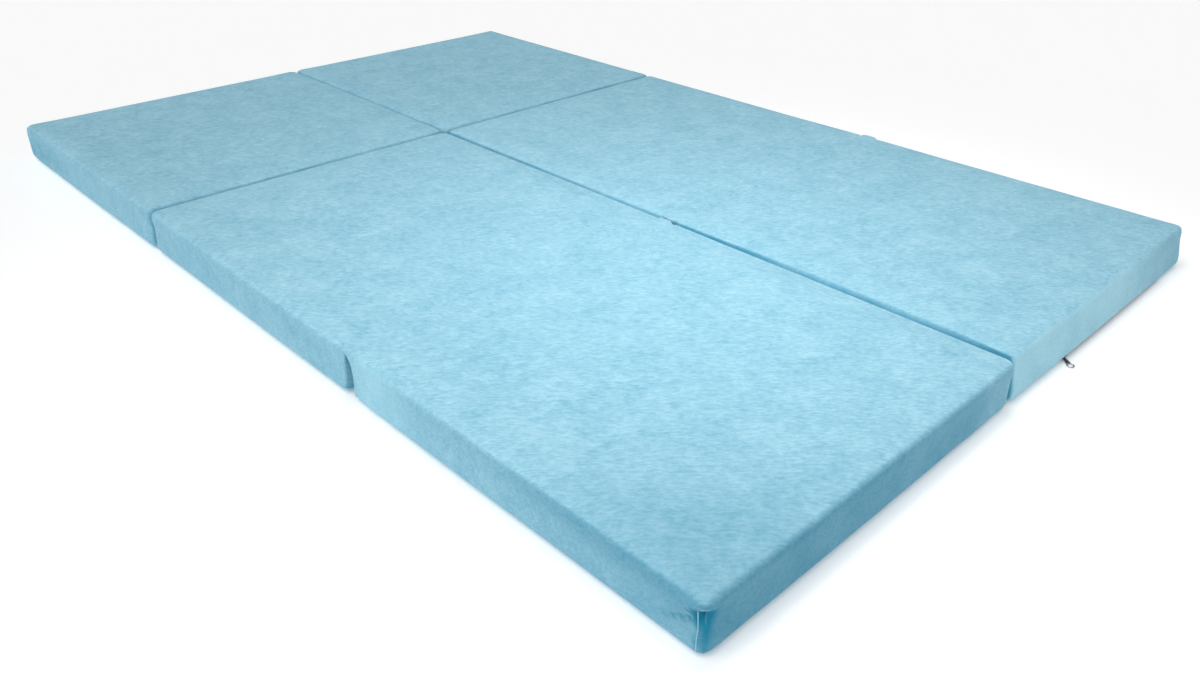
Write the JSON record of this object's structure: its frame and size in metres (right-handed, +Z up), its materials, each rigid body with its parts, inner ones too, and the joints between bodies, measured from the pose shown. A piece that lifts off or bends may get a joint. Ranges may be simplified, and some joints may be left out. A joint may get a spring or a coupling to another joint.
{
  "type": "folding gym mat",
  "caption": "Folding foam mat with velour-covered square blocks joined by fabric hinges so that they fold into a stack, and a zip under one near edge.",
  "frame": {"origin": "on the floor, under the middle of the mat's length and width; the origin lies in the space between the two columns", "axes": "+Z up; +Y along the mat's length, from the row with the zip to the row at the other end; +X across the two columns"},
  "size_m": [1.3, 1.9694, 0.08],
  "materials": {
    "velour": "matte",
    "web_fabric": "matte",
    "foam": "matte",
    "zip_tape": "matte",
    "zip_coil": "satin",
    "black_enamel": "gloss",
    "nickel": "polished"
  },
  "bodies": {
    "middle_left": {"foam_middle_left": "foam", "cover_middle_left": "velour", "base_middle_left": "velour", "top_web_left": "web_fabric", "bottom_web_left": "web_fabric"},
    "near_left": {"foam_near_left": "foam", "cover_near_left": "velour", "base_near_left": "velour", "column_web": "web_fabric"},
    "near_right": {"foam_near_right": "foam", "cover_near_right": "velour", "base_near_right": "velour", "zip_tape_upper": "zip_tape", "zip_tape_lower": "zip_tape", "zip_chain": "zip_coil", "zip_stop_inner": "nickel", "zip_stop_outer": "nickel"},
    "middle_right": {"foam_middle_right": "foam", "cover_middle_right": "velour", "base_middle_right": "velour", "top_web_right": "web_fabric", "bottom_web_right": "web_fabric"},
    "far_right": {"foam_far_right": "foam", "cover_far_right": "velour", "base_far_right": "velour"},
    "far_left": {"foam_far_left": "foam", "cover_far_left": "velour", "base_far_left": "velour"},
    "slider": {"zip_slider": "black_enamel"},
    "pull": {"zip_pull": "black_enamel", "zip_ring": "nickel"}
  },
  "joints": [
    {"name": "near_left_fold", "type": "hinge", "parent": "middle_left", "child": "near_left", "pos_m": [-0.3275, -0.32625, 0.0805], "axis": [-1, 0, 0], "range_deg": [0, 180], "deforming": ["top_web_left"]},
    {"name": "column_fold", "type": "hinge", "parent": "near_left", "child": "near_right", "pos_m": [0, -0.6525, -0.0005], "axis": [0, 1, 0], "range_deg": [0, 180], "deforming": ["column_web"]},
    {"name": "middle_right_fold", "type": "hinge", "parent": "near_right", "child": "middle_right", "pos_m": [0.3275, -0.32625, 0.0805], "axis": [1, 0, 0], "range_deg": [0, 180], "deforming": ["top_web_right"]},
    {"name": "far_right_fold", "type": "hinge", "parent": "middle_right", "child": "far_right", "pos_m": [0.3275, 0.32625, -0.0005], "axis": [-1, 0, 0], "range_deg": [0, 180], "deforming": ["bottom_web_right"]},
    {"name": "far_left_fold", "type": "hinge", "parent": "middle_left", "child": "far_left", "pos_m": [-0.3275, 0.32625, -0.0005], "axis": [-1, 0, 0], "range_deg": [0, 180], "deforming": ["bottom_web_left"]},
    {"name": "zip_slide", "type": "slide", "parent": "near_right", "child": "slider", "axis": [1, 0, 0], "range_m": [0, 0.3704]},
    {"name": "zip_pull_lift", "type": "hinge", "parent": "slider", "child": "pull", "pos_m": [0.1848, -0.97276, 0.00224], "axis": [-1, 0, 0], "range_deg": [0, 60]}
  ]
}
